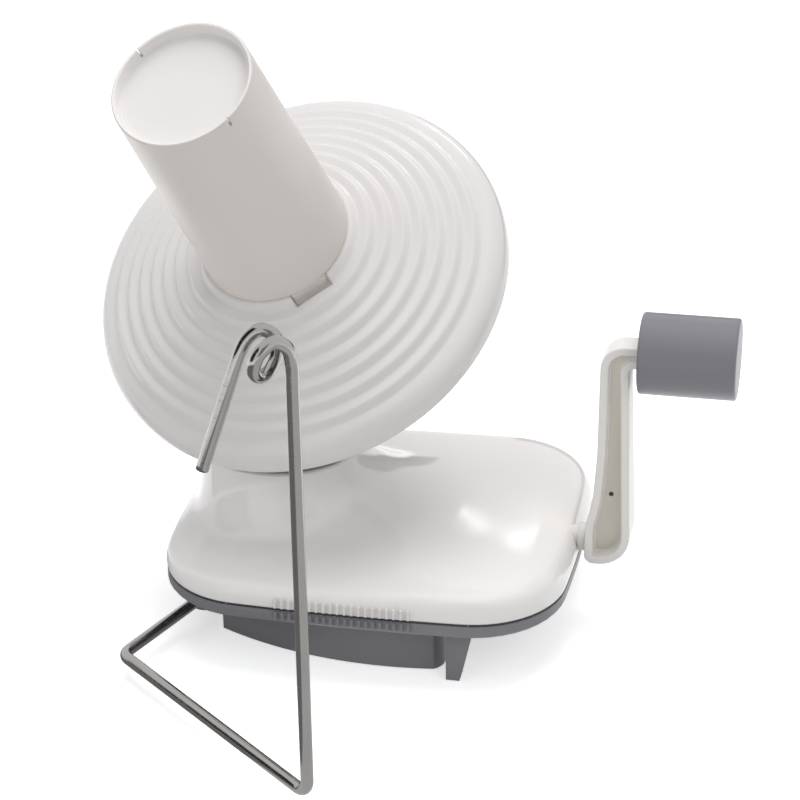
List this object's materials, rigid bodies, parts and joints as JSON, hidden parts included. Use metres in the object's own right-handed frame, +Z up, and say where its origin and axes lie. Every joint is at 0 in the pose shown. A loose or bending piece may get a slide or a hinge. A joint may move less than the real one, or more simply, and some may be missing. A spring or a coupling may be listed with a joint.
{
  "type": "yarn ball winder",
  "caption": "Hand-cranked yarn ball winder: leaning spool on a stepped disc carried round by a geared rotor on a low base, with side crank, grip and a bent wire yarn guide.",
  "frame": {"origin": "middle of the base at the plane it stands on", "axes": "+X along the crank shaft towards the crank, +Y away from the yarn guide, +Z up"},
  "size_m": [0.1931, 0.1909, 0.1907],
  "materials": {
    "white_gloss": "glossy warm white",
    "white_satin": "satin warm white",
    "grey_tray": "fine-grained grey",
    "grey_grip": "smooth grey",
    "inner_plastic": "natural white moulding",
    "steel": "bright drawn steel",
    "wire": "plated wire"
  },
  "bodies": {
    "base": {"lower_tray": "grey_tray", "top_cover": "white_gloss", "cover_screw_fl": "steel", "cover_screw_fr": "steel", "cover_screw_bl": "steel", "cover_screw_br": "steel", "centre_post": "steel", "post_collar": "inner_plastic", "sun_gear": "inner_plastic", "crank_bush": "inner_plastic", "shaft_block": "inner_plastic"},
    "crank": {"crank_shaft": "steel", "crown_gear": "inner_plastic", "crank_arm": "white_satin", "grip_pin": "steel"},
    "grip": {"grip_knob": "grey_grip", "grip_end": "grey_grip"},
    "rotor": {"rotor_sleeve": "grey_tray", "rotor_pinion": "inner_plastic", "dust_plate": "grey_tray", "rotor_arm": "grey_tray", "spindle_axle": "steel", "axle_washer": "inner_plastic", "axle_cap": "steel"},
    "spool": {"spool_disc": "white_gloss", "planet_gear": "inner_plastic", "spool_core": "white_satin", "core_cap": "white_satin"},
    "guide": {"guide_pivot": "grey_tray", "guide_clip": "steel", "guide_wire": "wire"}
  },
  "joints": [
    {"name": "crank_spin", "type": "hinge", "parent": "base", "child": "crank", "pos_m": [0.06, 0, 0.026], "axis": [1, 0, 0], "continuous": true},
    {"name": "grip_spin", "type": "hinge", "parent": "crank", "child": "grip", "pos_m": [0.0908, 0, 0.0875], "axis": [1, 0, 0], "continuous": true},
    {"name": "rotor_spin", "type": "hinge", "parent": "base", "child": "rotor", "pos_m": [-0.03, 0, 0.05], "axis": [0, 0, 1], "continuous": true},
    {"name": "spool_spin", "type": "hinge", "parent": "rotor", "child": "spool", "pos_m": [-0.03, 0, 0.116], "axis": [-0.1608, -0.5799, 0.7986], "continuous": true},
    {"name": "guide_swing", "type": "hinge", "parent": "base", "child": "guide", "pos_m": [-0.0505, -0.02, 0.015], "axis": [0, 0, 1], "range_deg": [-18, 18]}
  ],
  "couplings": [
    {"joint": "rotor_spin", "follows": "crank_spin", "ratio": -2},
    {"joint": "spool_spin", "follows": "crank_spin", "ratio": -1.3333}
  ]
}
